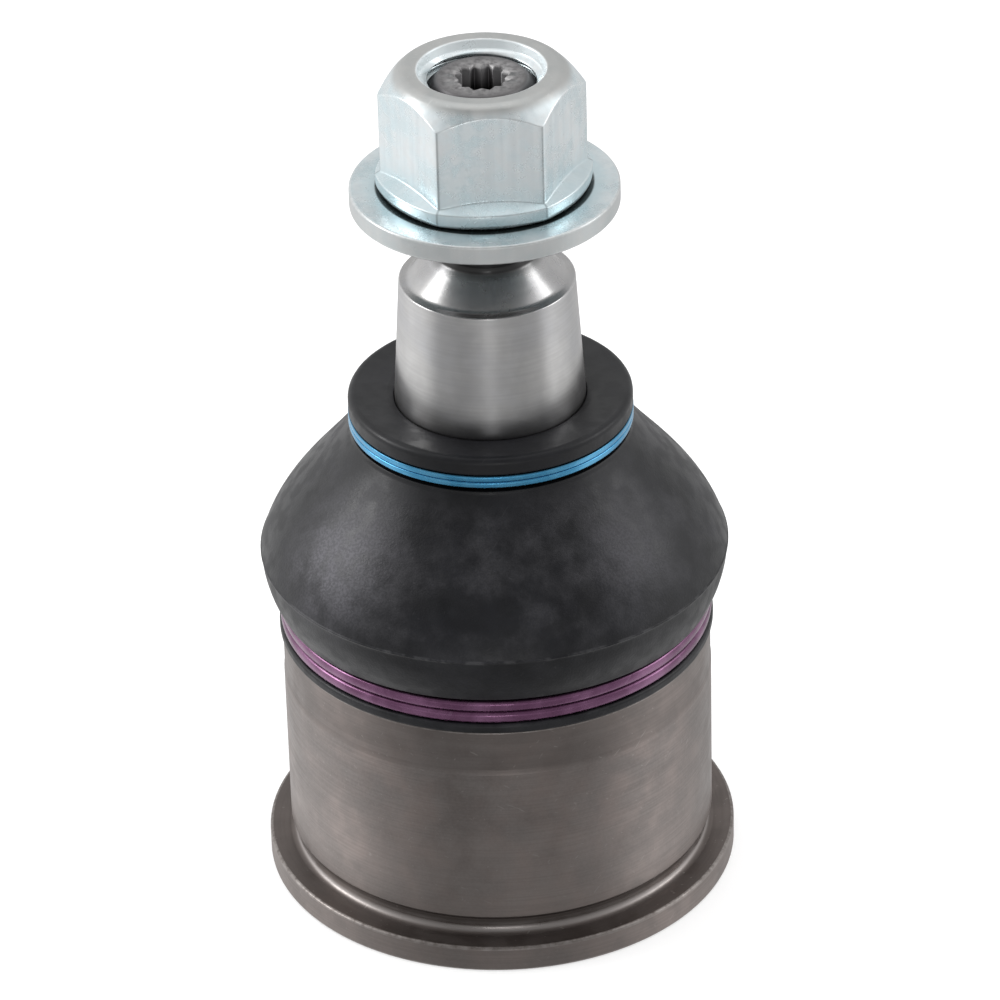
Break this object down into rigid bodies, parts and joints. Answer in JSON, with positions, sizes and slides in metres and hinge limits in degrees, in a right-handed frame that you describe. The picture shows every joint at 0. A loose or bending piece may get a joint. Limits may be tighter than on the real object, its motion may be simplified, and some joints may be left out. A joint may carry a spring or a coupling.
{
  "type": "suspension ball joint",
  "caption": "Press-in lower suspension ball joint: flanged round housing, rubber boot with two wire rings, tapered stud and flanged nut with a captive washer.",
  "frame": {"origin": "centre of the base, on the plane that the flange stands on", "axes": "+Z along the stud, from the flanged base to the nut; X and Y are free because the housing is round"},
  "size_m": [0.0572, 0.0572, 0.106],
  "materials": {
    "housing_steel": "ground and lightly oiled steel",
    "cover_steel": "pressed steel plate",
    "spring_steel": "hardened spring steel",
    "bearing_plastic": "moulded acetal",
    "stud_steel": "ground bright steel",
    "boot_rubber": "moulded rubber, slightly dusty",
    "lower_ring_coat": "purple coated spring wire",
    "upper_ring_coat": "blue coated spring wire",
    "zinc_plate": "zinc plated"
  },
  "bodies": {
    "housing": {"housing": "housing_steel", "closing_cover": "cover_steel", "preload_spring": "spring_steel", "lower_ring": "lower_ring_coat", "boot": "boot_rubber"},
    "bearing": {"lower_seat": "bearing_plastic", "upper_seat": "bearing_plastic"},
    "boot_neck": {"upper_ring": "upper_ring_coat"},
    "stud": {"ball_stud": "stud_steel"},
    "washer": {"captive_washer": "zinc_plate"},
    "nut": {"hex_nut": "zinc_plate"}
  },
  "joints": [
    {"name": "swing_direction", "type": "hinge", "parent": "housing", "child": "bearing", "pos_m": [0, 0, 0.023], "axis": [0, 0, 1], "continuous": true},
    {"name": "stud_swing", "type": "hinge", "parent": "bearing", "child": "boot_neck", "pos_m": [0, 0, 0.023], "axis": [1, 0, 0], "range_deg": [-25, 25], "deforming": ["boot"]},
    {"name": "stud_turn", "type": "hinge", "parent": "boot_neck", "child": "stud", "pos_m": [0, 0, 0.023], "axis": [0, 0, 1], "continuous": true},
    {"name": "nut_travel", "type": "slide", "parent": "stud", "child": "washer", "axis": [0, 0, 1], "range_m": [-0.00962, 0.01202]},
    {"name": "nut_turn", "type": "hinge", "parent": "washer", "child": "nut", "pos_m": [0, 0, 0.0977], "axis": [0, 0, 1], "range_deg": [-2304, 2880]}
  ],
  "couplings": [
    {"joint": "nut_travel", "follows": "nut_turn", "m_per_rad": 0.00023873}
  ]
}
